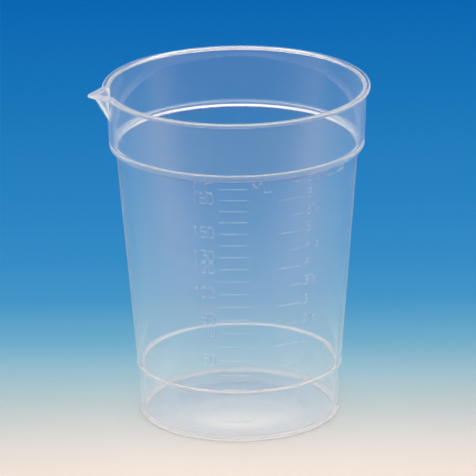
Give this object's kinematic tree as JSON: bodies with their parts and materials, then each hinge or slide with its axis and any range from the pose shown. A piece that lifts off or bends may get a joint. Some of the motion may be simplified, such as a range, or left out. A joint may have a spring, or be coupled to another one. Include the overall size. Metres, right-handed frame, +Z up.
{
  "type": "graduated pouring beaker",
  "caption": "Tapered translucent plastic beaker with a wider collar, rolled rim, V-shaped pouring spout and moulded millilitre and fluid ounce scales.",
  "frame": {"origin": "centre of the ring-shaped face it stands on, on the axis of the beaker", "axes": "+Z up along the axis of the beaker, -X towards the point of the spout, the scales face -Y"},
  "size_m": [0.0768, 0.0724, 0.0928],
  "materials": {
    "thin_wall": "clear natural polypropylene, glossy, faintly milky",
    "thick_edge": "natural polypropylene where it is thicker, milkier",
    "raised_mark": "raised graduations in the same polypropylene"
  },
  "bodies": {
    "root": {"rim_bead": "thick_edge", "spout_lip": "thick_edge", "spout_beak": "thin_wall", "collar_wall": "thin_wall", "stacking_shoulder": "thick_edge", "body_wall": "thin_wall", "foot_step": "thick_edge", "foot_skirt": "thin_wall", "standing_ring": "thick_edge", "base_floor": "thin_wall", "base_dome": "thin_wall", "gate_mark": "raised_mark", "ml_lines": "raised_mark", "ml_figures": "raised_mark", "ml_caption": "raised_mark", "cc_caption": "raised_mark", "oz_whole_lines": "raised_mark", "oz_half_lines": "raised_mark", "oz_figures": "raised_mark", "oz_fractions": "raised_mark", "oz_caption": "raised_mark"}
  },
  "joints": []
}
